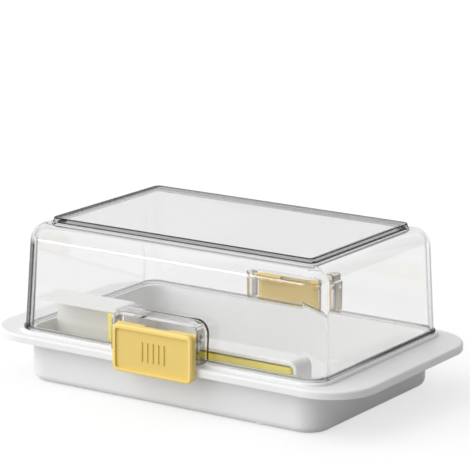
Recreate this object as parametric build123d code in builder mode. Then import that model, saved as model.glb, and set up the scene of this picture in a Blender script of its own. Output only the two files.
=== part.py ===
from build123d import *
import math
import os

# Butter dish with a portion cutter: a white tray, a clear lid with a hinged clip on each
# long side, and a two-colour cutter that lies in the front of the tray.
# Millimetres. Z is up, X runs along the dish, and the front looks towards -Y.
# The origin is in the middle of the tray's flat underside.

# Clearances between pieces
running_gap = 0.4        # between two pieces that slide past each other
rest_gap = 0.2           # between a piece and the seat that it stands on
seal_gap = 0.3           # each side of the lid's edge in the tray's groove
pin_seat_gap = 0.02      # round a hinge pin in the hood that holds it, in radius
pin_run_gap = 0.06       # round a hinge pin in the clip that turns on it, in radius

# Lid
lid_length = 166.0       # outside, at its lower edge
lid_width = 109.4
lid_wall = 2.2
lid_rise = 51.7          # lower edge to the flat of the roof
lid_lean = 2.3           # how far the walls lean in over that rise
roof_radius = 8.5        # rounding of the roof's edges and of the leaning corners
panel_margin = 0.15      # flat of the roof left round the raised panel
panel_rise = 2.2
panel_corner = 3.5
panel_draft = 15.0       # degrees
bead_out = 0.7           # small bead round the lid's foot
bead_height = 1.3

# Tray
flange_reach_ends = 18.5    # flange's edge beyond the lid's lower edge
flange_reach_sides = 6.0
tray_corner = 23.5
tray_height = 23.9       # underside to the top of the flange
flange_plate = 2.2
flange_rim_depth = 3.7
flange_rim_width = 2.4
flange_edge_radius = 1.2
tub_corner = 12.0
tub_wall = 2.2
tub_floor = 2.4
tub_draft = 1.0          # degrees
tub_foot_radius = 4.0
tub_inner_chamfer = 0.4  # between the tub's floor and its inner walls
curb_height = 1.4        # raised ring that the lid stands in
curb_inner_lip = 1.2
curb_outer_lip = 1.7
curb_chamfer = 0.5
groove_depth = 2.4

# Lid gasket: a flat foot in the groove, with a narrower rib that the lid's edge presses on
gasket_height = 1.3
gasket_foot = 0.7
gasket_gap = 0.1         # each side, in the groove
gasket_rib_inset = 0.6

# Clips
clip_width = 43.9
clip_height = 22.4
clip_thickness = 3.2
clip_corner = 3.0
clip_border = 1.9        # raised frame round the front
clip_recess = 0.9
clip_recess_corner = 1.6
clip_edge_chamfer = 0.7
clip_below_rim = 3.2     # how far the clip hangs below the flange's rim
clip_over_pin = 2.4      # clip's top edge above the pin
clip_flange_gap = 0.6    # air between the clip's back and the flange's edge
hook_reach = 1.6         # how far the hook goes under the flange's rim
hook_height = 1.8
hook_width = 30.0
hook_gap = 0.3           # below the rim
hook_chamfer = 0.7
grip_rib_count = 5
grip_rib_width = 1.2
grip_rib_length = 9.0
grip_rib_pitch = 3.0
grip_rib_height = 0.5
barrel_radius = 2.2
barrel_length = 15.0
pin_radius = 1.0
pin_end_inset = 0.3      # pin's ends inside the hood's outer faces
pin_behind_clip = 2.2    # pin axis behind the clip's back face

# Hoods on the lid that carry the clips' pins
hood_wall = 1.8
hood_roof = 1.8
hood_side_gap = 0.45     # beside the clip
hood_swing_gap = 0.5     # over the path of the clip's top edge
hood_corner = 6.0
hood_inner_corner = 2.5
hood_over_pin = 2.2      # hood's front edge in front of the pin's axis
hood_above_curb = 0.5

# Cutter frame: an open head and a looped handle
head_length = 45.5
head_depth = 15.8
head_height = 36.8
head_corner = 3.0
head_inner_corner = 0.5
cutter_wall = 2.0
handle_length = 94.9
handle_height = 18.0
handle_depth = 11.2
handle_strip = 2.3
handle_corner = 4.5
handle_edge = 0.5        # chamfer round the handle's open front
handle_centre = 16.6     # above the head's lower edge
rail_height = 2.4
rail_width = 2.4
rail_end_gap = 4.0
lip_radius = 1.0
cutter_end_gap = 1.2     # from the tub's end wall
cutter_front_gap = 7.5   # from the tub's front wall

# Rest that is moulded in the tray under the handle's free end
rest_thickness = 3.0
rest_from_end = 12.0
rest_side_depth = 3.0    # how deep the handle lies between its two lips
rest_back_lip = 1.5

# Pusher: a plate with its arm, and the grip that is plugged into the arm
plate_thickness = 3.4
plate_foot_gap = 1.0
plate_wall_gap = 0.3     # to the head's end wall when the pusher is drawn back
bar_gap = 0.9            # above and below the bar in the handle's slot
arm_length = 42.8
arm_behind_face = 0.7    # arm's front behind the head's open side
arm_root_radius = 3.0
grip_length = 50.9
grip_behind_handle = 0.8
grip_depth = 4.8
pusher_wall = 1.8
pusher_corner = 1.2
pusher_edge = 0.8
guide_thickness = 1.2    # the two guides that run between the rails
guide_gap = 0.4
guide_hook_out = 1.2
guide_hook_thickness = 1.6
guide_hook_inset = 2.0   # hooks stop this far from the grip's inner end
rail_gap = 0.3           # in front of and behind the rails
spigot_length = 5.0
spigot_thickness = 3.0
spigot_half_height = 2.2
spigot_gap = 0.1

# Levels and outlines that follow from the sizes above
lid_corner = roof_radius
tray_length = lid_length + 2 * flange_reach_ends
tray_width = lid_width + 2 * flange_reach_sides
curb_top = tray_height + curb_height
rim_underside = tray_height - flange_rim_depth
lid_base = curb_top - groove_depth + gasket_height
tub_inset = lid_wall + seal_gap + curb_inner_lip
tub_inner_length = lid_length - 2 * tub_inset
tub_inner_width = lid_width - 2 * tub_inset

clip_back = tray_width / 2 + clip_flange_gap
clip_bottom = rim_underside - clip_below_rim
clip_top = clip_bottom + clip_height
pin_y = clip_back - pin_behind_clip
pin_z = clip_top - clip_over_pin
clip_swing = math.hypot(pin_behind_clip + clip_thickness, clip_over_pin - clip_edge_chamfer)
hood_inner_half = clip_width / 2 + hood_side_gap
hood_outer_half = hood_inner_half + hood_wall
hood_front = pin_y + hood_over_pin
hood_base = curb_top + hood_above_curb
hood_ceiling = pin_z + clip_swing + hood_swing_gap
hood_top = hood_ceiling + hood_roof

cutter_base = tub_floor + rest_gap
head_left = cutter_end_gap - tub_inner_length / 2
head_right = head_left + head_length
head_front = cutter_front_gap - tub_inner_width / 2
head_back = head_front + head_depth
head_top = cutter_base + head_height
handle_end = head_right + handle_length
handle_z = cutter_base + handle_centre
handle_front = head_back - handle_depth
handle_bottom = handle_z - handle_height / 2
slot_half = handle_height / 2 - handle_strip
slot_end = handle_end - handle_strip
rail_half = slot_half - rail_height
bar_half = slot_half - bar_gap
bar_back = handle_front + grip_behind_handle + grip_depth
rail_front = bar_back + rail_gap
rail_back = rail_front + rail_width
guide_outer = rail_half - guide_gap
guide_back = rail_back + rail_gap + guide_hook_thickness
plate_right = head_right - cutter_wall - plate_wall_gap
plate_left = plate_right - plate_thickness
arm_front = head_front + arm_behind_face
arm_end = plate_right + arm_length
grip_front = handle_front + grip_behind_handle
grip_end = arm_end + grip_length
pusher_stroke = plate_left - head_left


def block(x, y, z, mode=Mode.ADD):
    """A box given by its two ends along X, Y and Z, added to the part being built."""
    with Locations((x[0], y[0], z[0])):
        Box(x[1] - x[0], y[1] - y[0], z[1] - z[0], align=(Align.MIN, Align.MIN, Align.MIN), mode=mode)


def about(middle, half):
    """The two ends of a span that is centred on a value."""
    return (middle - half, middle + half)


def lid_skin(inset):
    """The solid under one skin of the lid: leaning walls, a rounded roof and its raised panel."""
    rise = lid_rise - inset
    roof = lid_base + rise
    panel_inset = lid_lean + roof_radius + panel_margin + inset
    with BuildPart() as skin:
        with BuildSketch(Plane.XY.offset(lid_base)):
            Rectangle(lid_length - 2 * inset, lid_width - 2 * inset)
        extrude(amount=rise, taper=math.degrees(math.atan(lid_lean / lid_rise)))
        upright = skin.edges().filter_by_position(Axis.Z, lid_base + 0.01, roof - 0.01)
        fillet(upright, lid_corner - inset)
        fillet(skin.edges().group_by(Axis.Z)[-1], roof_radius - inset)
        with BuildSketch(Plane.XY.offset(roof)):
            RectangleRounded(
                lid_length - 2 * panel_inset, lid_width - 2 * panel_inset, panel_corner - inset
            )
        extrude(amount=panel_rise, taper=panel_draft)
    return skin.part


# Tray: flange with its rim turned down, tub, and the curb with the groove for the lid
with BuildPart() as tray:
    with BuildSketch(Plane.XY.offset(rim_underside)):
        RectangleRounded(tray_length, tray_width, tray_corner)
    extrude(amount=flange_rim_depth)
    fillet(tray.edges().group_by(Axis.Z)[-1], flange_edge_radius)
    with BuildSketch(Plane.XY.offset(rim_underside)):
        RectangleRounded(
            tray_length - 2 * flange_rim_width,
            tray_width - 2 * flange_rim_width,
            tray_corner - flange_rim_width,
        )
    extrude(amount=flange_rim_depth - flange_plate, mode=Mode.SUBTRACT)
    with BuildSketch(Plane.XY.offset(tray_height - flange_plate)):
        RectangleRounded(tub_inner_length + 2 * tub_wall, tub_inner_width + 2 * tub_wall, tub_corner)
    extrude(amount=flange_plate - tray_height, taper=tub_draft)
    fillet(tray.edges().group_by(Axis.Z)[0], tub_foot_radius)
    curb_grow = seal_gap + curb_outer_lip
    with BuildSketch(Plane.XY.offset(tray_height)):
        RectangleRounded(lid_length + 2 * curb_grow, lid_width + 2 * curb_grow, lid_corner + curb_grow)
    extrude(amount=curb_height)
    chamfer(tray.edges().group_by(Axis.Z)[-1], curb_chamfer)
    with BuildSketch(Plane.XY.offset(curb_top)):
        RectangleRounded(tub_inner_length, tub_inner_width, tub_corner - tub_wall)
    extrude(amount=tub_floor - curb_top, taper=tub_draft, mode=Mode.SUBTRACT)
    floor_edges = tray.edges().filter_by_position(Axis.Z, tub_floor - 0.01, tub_floor + 0.01)
    chamfer(floor_edges, tub_inner_chamfer)
    groove_in = lid_wall + seal_gap
    with BuildSketch(Plane.XY.offset(curb_top)):
        RectangleRounded(lid_length + 2 * seal_gap, lid_width + 2 * seal_gap, lid_corner + seal_gap)
        RectangleRounded(
            lid_length - 2 * groove_in, lid_width - 2 * groove_in, lid_corner - groove_in,
            mode=Mode.SUBTRACT,
        )
    extrude(amount=-groove_depth, mode=Mode.SUBTRACT)
    # Rest for the cutter's handle, from the tub's front wall to just behind the handle
    rest_x = handle_end - rest_from_end
    rest_top = handle_bottom + rest_side_depth
    seat_y = (handle_front - running_gap, head_back + running_gap)
    block(
        about(rest_x, rest_thickness / 2),
        (-(tub_inner_width + tub_wall) / 2, seat_y[1] + rest_back_lip),
        (tub_floor / 2, rest_top),
    )
    block(about(rest_x, rest_thickness), seat_y, (handle_bottom - rest_gap, rest_top + 1), Mode.SUBTRACT)
tray.part.label = "tray"

# Gasket in the tray's groove
with BuildPart() as lid_gasket:
    for level, height, inset in (
        (curb_top - groove_depth, gasket_foot, gasket_gap),
        (curb_top - groove_depth + gasket_foot, gasket_height - gasket_foot, gasket_gap + gasket_rib_inset),
    ):
        grow_out = seal_gap - inset
        grow_in = inset - groove_in
        with BuildSketch(Plane.XY.offset(level)):
            RectangleRounded(lid_length + 2 * grow_out, lid_width + 2 * grow_out, lid_corner + grow_out)
            RectangleRounded(
                lid_length + 2 * grow_in, lid_width + 2 * grow_in, lid_corner + grow_in,
                mode=Mode.SUBTRACT,
            )
        extrude(amount=height)
lid_gasket.part.label = "lid_gasket"

# Lid: outer skin, foot bead and the two hoods, hollowed by the inner skin
with BuildPart() as lid:
    add(lid_skin(0.0))
    with BuildSketch(Plane.XY.offset(curb_top + seal_gap)):
        RectangleRounded(lid_length + 2 * bead_out, lid_width + 2 * bead_out, lid_corner + bead_out)
    extrude(amount=bead_height)
    bead_top = curb_top + seal_gap + bead_height
    chamfer(lid.edges().filter_by_position(Axis.Z, bead_top - 0.01, bead_top + 0.01), bead_out / 2)
    hood_root = lid_width / 2 - lid_lean - lid_wall
    for side in (-1, 1):
        with BuildSketch(Plane.XZ.offset(-side * hood_root)) as arch:
            with Locations((0, hood_base)):
                Rectangle(2 * hood_outer_half, hood_top - hood_base, align=(Align.CENTER, Align.MIN))
            fillet(arch.vertices().group_by(Axis.Y)[-1], hood_corner)
            with Locations((0, hood_base)):
                Rectangle(
                    2 * hood_inner_half, hood_ceiling - hood_base,
                    align=(Align.CENTER, Align.MIN), mode=Mode.SUBTRACT,
                )
            inner_corners = arch.vertices().filter_by_position(Axis.Y, hood_ceiling - 0.01, hood_ceiling + 0.01)
            fillet(inner_corners, hood_inner_corner)
        extrude(amount=side * (hood_root - hood_front))
        with Locations((0, side * pin_y, pin_z)):
            Cylinder(pin_radius + pin_seat_gap, 3 * hood_outer_half, rotation=(0, 90, 0), mode=Mode.SUBTRACT)
    add(lid_skin(lid_wall), mode=Mode.SUBTRACT)
lid.part.label = "lid"

# Front clip: framed plate with a hook at its foot and two barrels behind its head
clip_mid = (clip_top + clip_bottom) / 2
with BuildPart() as front_clip:
    with BuildSketch(Plane.XZ.offset(clip_back)):
        with Locations((0, clip_mid)):
            RectangleRounded(clip_width, clip_height, clip_corner)
    extrude(amount=clip_thickness)
    chamfer(front_clip.edges().group_by(Axis.Y)[0], clip_edge_chamfer)
    with BuildSketch(Plane.XZ.offset(clip_back + clip_thickness)):
        with Locations((0, clip_mid)):
            RectangleRounded(clip_width - 2 * clip_border, clip_height - 2 * clip_border, clip_recess_corner)
    extrude(amount=-clip_recess, mode=Mode.SUBTRACT)
    with BuildSketch(Plane.XZ.offset(clip_back + clip_thickness - clip_recess)):
        with Locations((0, clip_mid)):
            with GridLocations(grip_rib_pitch, 1, grip_rib_count, 1):
                Rectangle(grip_rib_width, grip_rib_length)
    extrude(amount=grip_rib_height)
    for barrel_start in (-clip_width / 2, clip_width / 2 - barrel_length):
        with BuildSketch(Plane.YZ.offset(barrel_start)):
            with Locations((-pin_y, pin_z)):
                Circle(barrel_radius)
            with Locations(((-pin_y - clip_back) / 2, pin_z)):
                Rectangle(pin_behind_clip, 2 * barrel_radius - clip_edge_chamfer)
        extrude(amount=barrel_length)
    with Locations((0, -pin_y, pin_z)):
        Cylinder(pin_radius + pin_run_gap, 2 * clip_width, rotation=(0, 90, 0), mode=Mode.SUBTRACT)
    hook_top = rim_underside - hook_gap
    block(
        about(0, hook_width / 2),
        (-clip_back - clip_edge_chamfer, hook_reach - tray_width / 2),
        (hook_top - hook_height, hook_top),
    )
    hook_edges = front_clip.edges().filter_by(Axis.X).filter_by_position(Axis.Z, hook_top - 0.01, hook_top + 0.01)
    chamfer(hook_edges.sort_by(Axis.Y)[-1], hook_chamfer)
front_clip.part.label = "front_clip"

# Rear clip: the same moulding turned half a turn
with BuildPart() as rear_clip:
    add(front_clip.part.rotate(Axis.Z, 180))
rear_clip.part.label = "rear_clip"

# Steel pins that the clips turn on
with BuildPart() as front_clip_pin:
    with Locations((0, -pin_y, pin_z)):
        Cylinder(pin_radius, 2 * (hood_outer_half - pin_end_inset), rotation=(0, 90, 0))
    chamfer(front_clip_pin.edges().filter_by(GeomType.CIRCLE), pin_radius / 4)
front_clip_pin.part.label = "front_clip_pin"

with BuildPart() as rear_clip_pin:
    add(front_clip_pin.part.rotate(Axis.Z, 180))
rear_clip_pin.part.label = "rear_clip_pin"

# Cutter frame: head with a roof, a back and one end wall, and the handle's loop with its rails
with BuildPart() as cutter_frame:
    with BuildSketch(Plane.XZ.offset(-head_back)) as head_outline:
        with Locations((head_left, cutter_base)):
            Rectangle(head_length, head_height, align=(Align.MIN, Align.MIN))
        fillet(head_outline.vertices().group_by(Axis.Y)[-1].sort_by(Axis.X)[-1], head_corner)
    extrude(amount=head_depth)
    with BuildSketch(Plane.XZ.offset(cutter_wall - head_back)) as pocket_outline:
        with Locations((head_left - cutter_wall, cutter_base - cutter_wall)):
            Rectangle(head_length, head_height, align=(Align.MIN, Align.MIN))
        fillet(pocket_outline.vertices().group_by(Axis.Y)[-1].sort_by(Axis.X)[-1], head_inner_corner)
    extrude(amount=head_depth, mode=Mode.SUBTRACT)
    with BuildSketch(Plane.XZ.offset(-head_back)) as loop_outline:
        with Locations((head_right - cutter_wall / 2, handle_z)):
            Rectangle(handle_length + cutter_wall / 2, handle_height, align=(Align.MIN, Align.CENTER))
        fillet(loop_outline.vertices().group_by(Axis.X)[-1], handle_corner)
    extrude(amount=handle_depth)
    with BuildSketch(Plane.XZ.offset(-head_back)) as slot_outline:
        with Locations((head_right, handle_z)):
            Rectangle(slot_end - head_right, 2 * slot_half, align=(Align.MIN, Align.CENTER))
        fillet(slot_outline.vertices().group_by(Axis.X)[-1], handle_corner - handle_strip)
    extrude(amount=handle_depth, mode=Mode.SUBTRACT)
    # Way through the end wall for the bar: full height in front, guide height between the rails
    through_wall = (head_right - cutter_wall - 1, head_right)
    block(through_wall, (head_front - 1, rail_front), about(handle_z, slot_half), Mode.SUBTRACT)
    block(through_wall, (rail_front, head_back - cutter_wall), about(handle_z, rail_half), Mode.SUBTRACT)
    for side in (-1, 1):
        block(
            (head_right - cutter_wall / 2, slot_end - rail_end_gap),
            (rail_front, rail_back),
            sorted((handle_z + side * rail_half, handle_z + side * (slot_half + handle_strip / 2))),
        )
    lips = cutter_frame.edges().filter_by(Axis.X).filter_by_position(Axis.Y, head_front - 0.01, head_front + 0.01)
    lips = lips.filter_by_position(Axis.Z, handle_z - slot_half - 0.01, handle_z + slot_half + 0.01)
    fillet(lips, lip_radius)
    front_outline = cutter_frame.edges().filter_by_position(Axis.Y, handle_front - 0.01, handle_front + 0.01)
    chamfer(front_outline.filter_by_position(Axis.X, head_right + 1, handle_end + 1), handle_edge)
cutter_frame.part.label = "cutter_frame"

# Pusher plate with its arm: a channel that is open behind, with two guides along it
with BuildPart() as pusher_plate:
    block(
        (plate_left, plate_right),
        (head_front, head_back - cutter_wall - running_gap),
        (cutter_base + plate_foot_gap, head_top - cutter_wall - running_gap),
    )
    fillet(pusher_plate.edges().filter_by(Axis.X), pusher_edge)
    with BuildSketch(Plane.XY.offset(handle_z - bar_half)) as arm_plan:
        with Locations((plate_right, arm_front)):
            Rectangle(arm_length, bar_back - arm_front, align=(Align.MIN, Align.MIN))
        arm_corners = arm_plan.vertices().group_by(Axis.Y)[0].sort_by(Axis.X)
        fillet(arm_corners[0], arm_root_radius)
        fillet(arm_plan.vertices().group_by(Axis.Y)[0].sort_by(Axis.X)[-1], pusher_corner)
    extrude(amount=2 * bar_half)
    block(
        (plate_right + pusher_wall, arm_end - pusher_wall),
        (arm_front + pusher_wall, bar_back),
        about(handle_z, bar_half - pusher_wall),
        Mode.SUBTRACT,
    )
    for side in (-1, 1):
        block(
            (plate_right - pusher_edge, arm_end),
            (arm_front + pusher_corner, rail_back),
            sorted((handle_z + side * guide_outer, handle_z + side * (guide_outer - guide_thickness))),
        )
    spigot_y = about((grip_front + bar_back) / 2, spigot_thickness / 2)
    block(
        (arm_end - 2 * pusher_wall, arm_end),
        (spigot_y[0] - spigot_gap, spigot_y[1] + spigot_gap),
        about(handle_z, spigot_half_height + spigot_gap),
        Mode.SUBTRACT,
    )
pusher_plate.part.label = "pusher_plate"

# Grip: the bar in the handle, with guides hooked behind the rails and a spigot for the arm
with BuildPart() as pusher_grip:
    with BuildSketch(Plane.XY.offset(handle_z - bar_half)) as grip_plan:
        with Locations((arm_end, grip_front)):
            Rectangle(grip_length, grip_depth, align=(Align.MIN, Align.MIN))
        fillet(grip_plan.vertices().group_by(Axis.Y)[0], pusher_corner)
    extrude(amount=2 * bar_half)
    block(
        (arm_end + pusher_wall, grip_end - pusher_wall),
        (grip_front + pusher_wall, bar_back),
        about(handle_z, bar_half - pusher_wall),
        Mode.SUBTRACT,
    )
    for side in (-1, 1):
        block(
            (arm_end, grip_end),
            (grip_front + pusher_corner, guide_back),
            sorted((handle_z + side * guide_outer, handle_z + side * (guide_outer - guide_thickness))),
        )
        block(
            (arm_end + guide_hook_inset, grip_end),
            (guide_back - guide_hook_thickness, guide_back),
            sorted((handle_z + side * guide_outer, handle_z + side * (guide_outer + guide_hook_out))),
        )
    block(
        (arm_end - spigot_length, arm_end + pusher_wall),
        spigot_y,
        about(handle_z, spigot_half_height),
    )
pusher_grip.part.label = "pusher_grip"

os.makedirs("parts", exist_ok=True)
export_step(tray.part, "parts/tray.step")
export_step(lid_gasket.part, "parts/lid_gasket.step")
export_step(lid.part, "parts/lid.step")
export_step(front_clip.part, "parts/front_clip.step")
export_step(rear_clip.part, "parts/rear_clip.step")
export_step(front_clip_pin.part, "parts/front_clip_pin.step")
export_step(rear_clip_pin.part, "parts/rear_clip_pin.step")
export_step(cutter_frame.part, "parts/cutter_frame.step")
export_step(pusher_plate.part, "parts/pusher_plate.step")
export_step(pusher_grip.part, "parts/pusher_grip.step")
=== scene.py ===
import bpy
import math
from mathutils import Matrix, Vector

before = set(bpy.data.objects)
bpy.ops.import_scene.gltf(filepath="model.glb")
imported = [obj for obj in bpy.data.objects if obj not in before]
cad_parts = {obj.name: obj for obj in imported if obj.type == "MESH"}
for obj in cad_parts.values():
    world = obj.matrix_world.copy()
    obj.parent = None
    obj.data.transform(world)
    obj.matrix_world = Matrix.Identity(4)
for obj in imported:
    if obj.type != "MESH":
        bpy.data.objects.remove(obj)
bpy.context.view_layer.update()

for leftover in ("Cube", "Light", "Camera"):
    if leftover in bpy.data.objects:
        bpy.data.objects.remove(bpy.data.objects[leftover])


# Tray
# The white dish: flange with a turned-down rim, tub, lid groove and the rest for the cutter.
# Injection-moulded in one piece in white plastic with a satin gloss.
def noise(place, scale, detail):
    """A noise texture's value at a place; a larger scale makes its pattern finer."""
    tree = place.node.id_data
    texture = tree.nodes.new("ShaderNodeTexNoise")
    texture.inputs["Scale"].default_value = scale
    texture.inputs["Detail"].default_value = detail
    tree.links.new(place, texture.inputs["Vector"])
    return texture.outputs["Fac"]


def spread(value, low, high, at_low=0.0, at_high=1.0):
    """A value carried in a straight line from low..high to at_low..at_high, and held beyond it."""
    tree = value.node.id_data
    ramp = tree.nodes.new("ShaderNodeMapRange")
    ramp.inputs["From Min"].default_value = low
    ramp.inputs["From Max"].default_value = high
    ramp.inputs["To Min"].default_value = at_low
    ramp.inputs["To Max"].default_value = at_high
    tree.links.new(value, ramp.inputs["Value"])
    return ramp.outputs["Result"]


def relief(raised, strength, distance, over=None):
    """The surface's normal tilted as if it rose by a value times distance, over another relief."""
    tree = raised.node.id_data
    bump = tree.nodes.new("ShaderNodeBump")
    bump.inputs["Strength"].default_value = strength
    bump.inputs["Distance"].default_value = distance
    tree.links.new(raised, bump.inputs["Height"])
    if over is not None:
        tree.links.new(over, bump.inputs["Normal"])
    return bump.outputs["Normal"]


def moulded_plastic(name, colour, roughness, ripple=0.02, tone=0.02):
    """Solid moulded plastic. Its tone drifts slowly with a noise, its gloss varies with a finer
    one, and its relief adds a long shallow ripple to a fine grain."""
    material = bpy.data.materials.new(name)
    material.use_nodes = True
    tree = material.node_tree
    plastic = tree.nodes["Principled BSDF"]
    plastic.inputs["IOR"].default_value = 1.5
    place = tree.nodes.new("ShaderNodeTexCoord").outputs["Object"]
    tone_drift = noise(place, scale=24.0, detail=2.0)
    handling = noise(place, scale=90.0, detail=4.0)
    grain = noise(place, scale=2200.0, detail=2.0)
    wave = noise(place, scale=45.0, detail=0.0)

    tint = tree.nodes.new("ShaderNodeMix")
    tint.data_type = "RGBA"
    tint.inputs["A"].default_value = (*[c * (1 - tone) for c in colour], 1)
    tint.inputs["B"].default_value = (*[min(1, c * (1 + tone)) for c in colour], 1)
    tree.links.new(tone_drift, tint.inputs["Factor"])
    tree.links.new(tint.outputs["Result"], plastic.inputs["Base Color"])

    glossiest, dullest = roughness * 0.85, roughness * 1.2
    gloss = spread(handling, 0.3, 0.7, at_low=glossiest, at_high=dullest)
    tree.links.new(gloss, plastic.inputs["Roughness"])

    fine = relief(grain, strength=0.05, distance=0.0001)
    whole = relief(wave, strength=ripple, distance=0.001, over=fine)
    tree.links.new(whole, plastic.inputs["Normal"])
    return material


def finish_node(node, material):
    """Gives a CAD node its one finish."""
    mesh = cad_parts[node].data
    mesh.materials.clear()
    mesh.materials.append(material)


finish_node("tray", moulded_plastic("white_moulding", (0.87, 0.87, 0.87), 0.34))

# Lid gasket
# Soft pale ring that lies in the tray's groove and seals the lid's lower edge.
# Moulded in silicone rubber, which lets a little light in, and pressed into the groove by hand.
silicone = moulded_plastic("pale_silicone", (0.74, 0.75, 0.74), 0.5, ripple=0.0)
rubber = silicone.node_tree.nodes["Principled BSDF"]
rubber.inputs["Subsurface Weight"].default_value = 0.2
rubber.inputs["Subsurface Scale"].default_value = 0.002
finish_node("lid_gasket", silicone)


# Lid
# Clear deep cover with a raised panel on its roof, a bead at its foot and the two clip hoods.
# One moulding in clear styrene plastic with a faint grey tint. Painted shade lies along its edges,
# standing in for the dark lines that thick clear plastic shows where it is seen edge-on.
def combine(operation, first, second=None):
    """The Math node's result for one or two values; the second may be a plain number."""
    tree = first.node.id_data
    node = tree.nodes.new("ShaderNodeMath")
    node.operation = operation
    tree.links.new(first, node.inputs[0])
    if isinstance(second, (int, float)):
        node.inputs[1].default_value = second
    elif second is not None:
        tree.links.new(second, node.inputs[1])
    return node.outputs["Value"]


def product(first, *others):
    """All the values multiplied together."""
    for other in others:
        first = combine("MULTIPLY", first, other)
    return first


def strongest(first, *others):
    """The largest of the values."""
    for other in others:
        first = combine("MAXIMUM", first, other)
    return first


def band(value, low, high, fade):
    """1 between low and high and 0 beyond them, with both edges fading inside the band."""
    return product(spread(value, low, low + fade), spread(value, high, high - fade))


def excess(reach, half):
    """What a distance from the middle is over half a side, and 0 within it."""
    return strongest(combine("SUBTRACT", reach, half), 0.0)


def outline(first, second):
    """How far a point lies outside a rectangle: the root of the summed squares of its excesses
    over the two half sides. It stays the same along a rounded edge round that rectangle."""
    return combine("SQRT", combine("ADD", product(first, first), product(second, second)))


clear = bpy.data.materials.new("clear_styrene")
clear.use_nodes = True
lid_tree = clear.node_tree
styrene = lid_tree.nodes["Principled BSDF"]
styrene.inputs["Base Color"].default_value = (0.985, 0.985, 0.985, 1)
styrene.inputs["IOR"].default_value = 1.57
styrene.inputs["Transmission Weight"].default_value = 1.0
lid_place = lid_tree.nodes.new("ShaderNodeTexCoord").outputs["Object"]
lid_axes = lid_tree.nodes.new("ShaderNodeSeparateXYZ")
lid_tree.links.new(lid_place, lid_axes.inputs["Vector"])
along, across, height = (lid_axes.outputs[axis] for axis in "XYZ")
from_middle = combine("ABSOLUTE", along)
from_axis = combine("ABSOLUTE", across)
# 0 where a wall is looked at squarely, 1 where one looks along it
edge_on = lid_tree.nodes.new("ShaderNodeLayerWeight").outputs["Facing"]

# Painted shade darkens the rounded upright corners where one looks along their wall: most at the
# front left, less at the rear right, and only faintly at the other two
corner_x, corner_y, corner_z = (0.0725, 0.0745), (0.0442, 0.0462), (0.0700, 0.0660)
corner_darkens, corner_fades = (0.33, 0.41), (0.45, 0.65)
end_to_end, one_diagonal_to_other = (-0.06, 0.06), (-0.001, 0.001)
corner = product(
    spread(from_middle, *corner_x),
    spread(from_axis, *corner_y),
    spread(height, *corner_z),
    spread(edge_on, *corner_darkens),
    spread(edge_on, *corner_fades, at_low=1.0, at_high=0.35),
    spread(along, *end_to_end, at_low=1.0, at_high=0.45),
    spread(product(along, across), *one_diagonal_to_other, at_low=0.2, at_high=1.0),
)

# The step round the raised panel has a painted shade line along its top and its foot, and painted
# shade on its face between them where it is seen along the wall. The painted foot line is fainter
# on the long sides.
panel_half_x, panel_half_y = 0.06855, 0.04025
top_edge, face_top, face_foot, foot_edge = 0.00260, 0.00300, 0.00350, 0.00390
line_overlap = line_fade = 0.00005
step_z, face_darkens, face_at_least = (0.0755, 0.0757), (0.55, 0.66), 0.2
end_excess = excess(from_middle, panel_half_x)
side_excess = excess(from_axis, panel_half_y)
from_panel = outline(end_excess, side_excess)
long_side = combine("GREATER_THAN", side_excess, end_excess)
top_line = band(from_panel, top_edge, face_top + line_overlap, line_fade)
face = band(from_panel, face_top, face_foot, line_fade)
foot_line = band(from_panel, face_foot - line_overlap, foot_edge, line_fade)
step = strongest(
    top_line,
    product(foot_line, spread(long_side, 0.0, 1.0, at_low=1.0, at_high=0.3)),
    product(face, strongest(spread(edge_on, *face_darkens), face_at_least)),
)
step = product(step, spread(height, *step_z))

# The same step has painted shade on the inside of the roof
inner_top, inner_foot, inner_fade = 0.00050, 0.00145, 0.0001
above_inner_foot, below_inner_top, inner_strength = (0.0745, 0.0748), (0.0759, 0.0757), 0.95
inner_step = product(
    band(from_panel, inner_top, inner_foot, inner_fade),
    spread(height, *above_inner_foot),
    spread(height, *below_inner_top),
    inner_strength,
)

# A thin painted shade line runs on the roof above each long side, and fades away from the cutter's
# head
brow_inner, brow_outer, brow_fade = 0.00660, 0.00715, 0.0001
brow_z, brow_x = (0.0740, 0.0742), (-0.07, 0.05)
brow = product(
    band(from_panel, brow_inner, brow_outer, brow_fade),
    long_side,
    spread(height, *brow_z),
    spread(along, *brow_x, at_low=0.7, at_high=0.15),
)

# The panel's top has painted shade along two of its rims, at the head's end and at the back,
# where one looks along it
head_rim_x, head_rim_strength = (-0.0676, -0.0680), 0.85
rear_rim_y, rear_rim_strength = (0.0393, 0.0397), 0.6
rim_z, rim_darkens = (0.0779, 0.0780), (0.60, 0.74)
rim = product(
    strongest(
        product(spread(along, *head_rim_x), head_rim_strength),
        product(spread(across, *rear_rim_y), rear_rim_strength),
    ),
    spread(height, *rim_z),
    spread(edge_on, *rim_darkens),
)

# Painted shade on the bead at the foot, darkest along the rear half of the end away from the
# cutter's head
bead_bottom, bead_top, bead_fade = 0.0260, 0.0271, 0.0002
far_end_x, rear_half_y = (0.070, 0.078), (-0.03, 0.0)
far_end = product(spread(along, *far_end_x), spread(across, *rear_half_y))
foot = product(
    band(height, bead_bottom, bead_top, bead_fade),
    spread(far_end, 0.0, 1.0, at_low=0.38, at_high=0.9),
)

# Painted shade on the inner sides of the hoods' legs
leg_inner_x, leg_outer_x = (0.0220, 0.0223), (0.0227, 0.0225)
leg_y, leg_z, leg_strength = (0.0560, 0.0562), (0.0440, 0.0430), 0.55
leg = product(
    spread(from_middle, *leg_inner_x),
    spread(from_middle, *leg_outer_x),
    spread(from_axis, *leg_y),
    spread(height, *leg_z),
    leg_strength,
)
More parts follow.
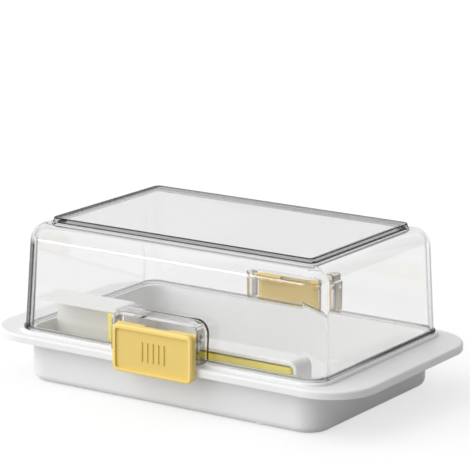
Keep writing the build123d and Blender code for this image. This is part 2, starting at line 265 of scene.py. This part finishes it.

# Painted shade on the seam between a hood and the lid's wall, where it turns away from the
# cutter's head
hood_half_x, hood_corner_z = 0.0182, 0.03896
seam_inner, seam_outer, seam_fade = 0.00570, 0.00635, 0.00015
wall_inner, wall_outer, wall_fade = 0.0530, 0.0554, 0.0003
seam_x, seam_z = (0.013, 0.019), (0.0262, 0.0270)
from_hood = outline(excess(from_middle, hood_half_x), excess(height, hood_corner_z))
seam = product(
    band(from_hood, seam_inner, seam_outer, seam_fade),
    band(from_axis, wall_inner, wall_outer, wall_fade),
    spread(along, *seam_x, at_low=0.0, at_high=0.9),
    spread(height, *seam_z),
)

# All the painted shade above: a near-black matt surface mixed into the clear plastic along these
# edges
painted_shade_strength = 0.95
painted_shade = lid_tree.nodes.new("ShaderNodeBsdfDiffuse")
painted_shade.inputs["Color"].default_value = (0.03, 0.03, 0.03, 1)
with_painted_shade = lid_tree.nodes.new("ShaderNodeMixShader")
painted_edge_shade = strongest(corner, step, inner_step, brow, rim, foot, leg, seam)
lid_tree.links.new(product(painted_edge_shade, painted_shade_strength), with_painted_shade.inputs["Fac"])
lid_tree.links.new(styrene.outputs["BSDF"], with_painted_shade.inputs[1])
lid_tree.links.new(painted_shade.outputs["BSDF"], with_painted_shade.inputs[2])

# Faint smears vary the gloss, a slow swell bends it, and the thick of the wall is a little grey
smears = noise(lid_place, scale=60.0, detail=3.0)
dullest_smear = 0.03
lid_tree.links.new(spread(smears, 0.0, 1.0, at_high=dullest_smear), styrene.inputs["Roughness"])
swell = relief(noise(lid_place, scale=30.0, detail=0.0), strength=0.02, distance=0.001)
lid_tree.links.new(swell, styrene.inputs["Normal"])
tinted = lid_tree.nodes.new("ShaderNodeVolumeAbsorption")
tinted.inputs["Color"].default_value = (0.62, 0.62, 0.62, 1)
tinted.inputs["Density"].default_value = 30.0
lid_surface = lid_tree.nodes["Material Output"]
lid_tree.links.new(tinted.outputs["Volume"], lid_surface.inputs["Volume"])

# Light that only passes through to what lies inside goes straight, without focused spots, and so
# does light that has been led along inside a wall. The end wall away from the cutter's head lets
# less of it through, so the flange behind it is shaded.
end_wall_x, most_let_through, least_let_through = (0.0780, 0.0800), 0.985, 0.80
passing = lid_tree.nodes.new("ShaderNodeBsdfTransparent")
let_through = spread(along, *end_wall_x, at_low=most_let_through, at_high=least_let_through)
lid_tree.links.new(let_through, passing.inputs["Color"])
lid_path = lid_tree.nodes.new("ShaderNodeLightPath")
most_reflections = 2.5
goes_straight = strongest(
    lid_path.outputs["Is Shadow Ray"],
    lid_path.outputs["Is Diffuse Ray"],
    combine("GREATER_THAN", lid_path.outputs["Glossy Depth"], most_reflections),
)
whole_lid = lid_tree.nodes.new("ShaderNodeMixShader")
lid_tree.links.new(goes_straight, whole_lid.inputs["Fac"])
lid_tree.links.new(with_painted_shade.outputs["Shader"], whole_lid.inputs[1])
lid_tree.links.new(passing.outputs["BSDF"], whole_lid.inputs[2])
lid_tree.links.new(whole_lid.outputs["Shader"], lid_surface.inputs["Surface"])
finish_node("lid", clear)

# Clips
# Amber plates that swing on the hoods' pins and hook under the flange's rim.
# Moulded in glossy plastic; the sunk field is a little darker than the raised frame round it.
field_half_length, field_half_height, field_middle = 0.0201, 0.0094, 0.0282
field_fade = 0.0002
amber = moulded_plastic("amber_moulding", (0.96, 0.72, 0.22), 0.34)
clip_tree = amber.node_tree
clip_plastic = clip_tree.nodes["Principled BSDF"]
plain_amber = clip_plastic.inputs["Base Color"].links[0].from_socket
clip_axes = clip_tree.nodes.new("ShaderNodeSeparateXYZ")
clip_tree.links.new(
    clip_tree.nodes["Texture Coordinate"].outputs["Object"], clip_axes.inputs["Vector"]
)
from_clip_middle = combine("ABSOLUTE", clip_axes.outputs["X"])
from_field_middle = combine("ABSOLUTE", combine("SUBTRACT", clip_axes.outputs["Z"], field_middle))
sunk_field = product(
    spread(from_clip_middle, field_half_length, field_half_length - field_fade),
    spread(from_field_middle, field_half_height, field_half_height - field_fade),
)
two_tone = clip_tree.nodes.new("ShaderNodeMix")
two_tone.data_type = "RGBA"
two_tone.blend_type = "MULTIPLY"
two_tone.inputs["B"].default_value = (0.87, 0.86, 0.80, 1)
clip_tree.links.new(sunk_field, two_tone.inputs["Factor"])
clip_tree.links.new(plain_amber, two_tone.inputs["A"])
clip_tree.links.new(two_tone.outputs["Result"], clip_plastic.inputs["Base Color"])
finish_node("front_clip", amber)
finish_node("rear_clip", amber)

# Clip pins
# Thin rods that carry the clips in the hoods' side walls.
# Drawn stainless steel, cut to length, with faint lines along the rod.
marks_along, marks_round = 60.0, 6000.0
steel = bpy.data.materials.new("drawn_steel")
steel.use_nodes = True
pin_tree = steel.node_tree
rod = pin_tree.nodes["Principled BSDF"]
rod.inputs["Base Color"].default_value = (0.62, 0.61, 0.59, 1)
rod.inputs["Metallic"].default_value = 1.0
rod.inputs["Roughness"].default_value = 0.28
stretch = pin_tree.nodes.new("ShaderNodeMapping")
stretch.inputs["Scale"].default_value = (marks_along, marks_round, marks_round)
pin_place = pin_tree.nodes.new("ShaderNodeTexCoord").outputs["Object"]
pin_tree.links.new(pin_place, stretch.inputs["Vector"])
lines = noise(stretch.outputs["Vector"], scale=1.0, detail=2.0)
pin_tree.links.new(relief(lines, strength=0.1, distance=0.0001), rod.inputs["Normal"])
finish_node("front_clip_pin", steel)
finish_node("rear_clip_pin", steel)

# Cutter frame
# Open scoop-shaped head with a long looped handle, which lies in the front of the tray.
# One moulding in white plastic, a shade warmer than the tray's.
finish_node("cutter_frame", moulded_plastic("white_cutter", (0.94, 0.935, 0.915), 0.33))

# Pusher
# Yellow plate with its arm, and the grip plugged into the arm that slides in the handle.
# Two mouldings in the same yellow plastic, pressed together.
yellow = moulded_plastic("yellow_moulding", (1.0, 0.84, 0.14), 0.34)
finish_node("pusher_plate", yellow)
finish_node("pusher_grip", yellow)

# Floor
# A wide sheet of matt pale paper under the dish.
# It is lifted to white where it is looked at, reflected or seen through the lid, and keeps the
# dish's shadow.
floor_half, floor_z = 12.0, -0.0003
floor_corners = ((-1, -1), (1, -1), (1, 1), (-1, 1))
floor_mesh = bpy.data.meshes.new("floor")
floor_mesh.from_pydata(
    [(x * floor_half, y * floor_half, floor_z) for x, y in floor_corners], [], [(0, 1, 2, 3)]
)
floor = bpy.data.objects.new("floor", floor_mesh)
bpy.context.scene.collection.objects.link(floor)

paper_lighting_dish, paper_looked_at = 0.52, 0.33
white_lift, further_lift_looked_at = 0.48, 0.205
paper = bpy.data.materials.new("floor_paper")
paper.use_nodes = True
paper_tree = paper.node_tree
paper_tree.nodes.remove(paper_tree.nodes["Principled BSDF"])
paper_path = paper_tree.nodes.new("ShaderNodeLightPath")
looked_at = paper_path.outputs["Is Camera Ray"]
seen = strongest(
    looked_at, paper_path.outputs["Is Glossy Ray"], paper_path.outputs["Is Transmission Ray"]
)
matt = paper_tree.nodes.new("ShaderNodeBsdfDiffuse")
matt_colour = spread(looked_at, 0.0, 1.0, paper_lighting_dish, paper_looked_at)
paper_tree.links.new(matt_colour, matt.inputs["Color"])
lift = paper_tree.nodes.new("ShaderNodeEmission")
lift.inputs["Color"].default_value = (1, 1, 1, 1)
further_lift = spread(looked_at, 0.0, 1.0, 0.0, further_lift_looked_at)
lift_strength = combine("ADD", product(seen, white_lift), further_lift)
paper_tree.links.new(lift_strength, lift.inputs["Strength"])
lifted_paper = paper_tree.nodes.new("ShaderNodeAddShader")
paper_tree.links.new(matt.outputs["BSDF"], lifted_paper.inputs[0])
paper_tree.links.new(lift.outputs["Emission"], lifted_paper.inputs[1])
paper_surface = paper_tree.nodes["Material Output"].inputs["Surface"]
paper_tree.links.new(lifted_paper.outputs["Shader"], paper_surface)
floor_mesh.materials.append(paper)

# Sky
# A pale studio all round, brightest overhead and dimmer from the right.
# It is plain white where it is looked at, and on the far side where the lid shows it.
sky_greys = (
    (0.0, (0.61, 0.61, 0.62, 1)), (0.35, (0.65, 0.65, 0.66, 1)), (1.0, (0.98, 0.98, 0.98, 1))
)
far_side_white, far_side_in_gloss, right_strength = 0.75, 0.3, 0.45
sky = bpy.data.worlds.new("studio")
bpy.context.scene.world = sky
sky.use_nodes = True
sky_tree = sky.node_tree
air = sky_tree.nodes["Background"]
sky_axes = sky_tree.nodes.new("ShaderNodeSeparateXYZ")
sky_direction = sky_tree.nodes.new("ShaderNodeTexCoord").outputs["Generated"]
sky_tree.links.new(sky_direction, sky_axes.inputs["Vector"])

overhead = sky_tree.nodes.new("ShaderNodeValToRGB")
overhead.color_ramp.elements.new(sky_greys[1][0])
for stop, (position, grey) in zip(overhead.color_ramp.elements, sky_greys):
    stop.position = position
    stop.color = grey
sky_tree.links.new(sky_axes.outputs["Z"], overhead.inputs["Fac"])

far_side = spread(sky_axes.outputs["Y"], 0.1, 0.6, at_low=0.0, at_high=far_side_white)
far_side.node.interpolation_type = "SMOOTHSTEP"
sky_path = sky_tree.nodes.new("ShaderNodeLightPath")
in_lid = strongest(
    product(sky_path.outputs["Is Glossy Ray"], far_side_in_gloss),
    sky_path.outputs["Is Transmission Ray"],
)
white = strongest(sky_path.outputs["Is Camera Ray"], product(in_lid, far_side))
backdrop = sky_tree.nodes.new("ShaderNodeMix")
backdrop.data_type = "RGBA"
backdrop.inputs["B"].default_value = (1, 1, 1, 1)
sky_tree.links.new(white, backdrop.inputs["Factor"])
sky_tree.links.new(overhead.outputs["Color"], backdrop.inputs["A"])
sky_tree.links.new(backdrop.outputs["Result"], air.inputs["Color"])
from_right = spread(sky_axes.outputs["X"], -0.1, 0.7, at_low=1.0, at_high=right_strength)
sky_tree.links.new(strongest(white, from_right), air.inputs["Strength"])


# Lamps
# A wide soft lamp high on the front left, which the gloss and the lid don't show, and a long low
# softbox in front.
def add_lamp(data, towards):
    """Adds a lamp that shines from the direction towards it, and returns its object."""
    lamp = bpy.data.objects.new(data.name, data)
    bpy.context.scene.collection.objects.link(lamp)
    lamp.rotation_mode = "QUATERNION"
    lamp.rotation_quaternion = Vector(towards).to_track_quat("Z", "Y")
    return lamp


soft_data = bpy.data.lights.new("soft_lamp", "SUN")
soft_data.energy = 1.75
soft_data.angle = 1.1
soft_lamp = add_lamp(soft_data, (-0.60, -0.60, 0.54))
soft_lamp.visible_glossy = False
soft_lamp.visible_transmission = False

softbox_x, softbox_y, softbox_z = -0.85, -1.35, 0.14
box_data = bpy.data.lights.new("low_softbox", "AREA")
box_data.shape = "RECTANGLE"
box_data.size, box_data.size_y = 0.7, 0.13
box_data.energy = 1.6
low_softbox = add_lamp(box_data, (softbox_x, softbox_y, 0.0))
low_softbox.location = (softbox_x, softbox_y, softbox_z)

# Camera
# A long lens on the right of the front, a little above the dish and turned by half a degree.
# Its place was fitted to the dish's edges.
camera_place = (0.666970, -1.019418, 0.359723)
azimuth, elevation, roll = (math.radians(angle) for angle in (33.09, 13.34, 0.46))
camera_data = bpy.data.cameras.new("camera")
camera_data.lens = 205.28
camera_data.sensor_width = 36.0
camera_data.clip_end = 100.0
camera = bpy.data.objects.new("camera", camera_data)
bpy.context.scene.collection.objects.link(camera)
back = Vector((
    math.sin(azimuth) * math.cos(elevation),
    -math.cos(azimuth) * math.cos(elevation),
    math.sin(elevation),
))
right = Vector((math.cos(azimuth), math.sin(azimuth), 0))
up = back.cross(right)
tilted_right = right * math.cos(roll) + up * math.sin(roll)
tilted_up = up * math.cos(roll) - right * math.sin(roll)
turn = Matrix((tilted_right, tilted_up, back)).transposed().to_4x4()
camera.matrix_world = Matrix.Translation(camera_place) @ turn
bpy.context.scene.camera = camera
bpy.context.scene.view_settings.view_transform = "Standard"

bpy.context.view_layer.update()
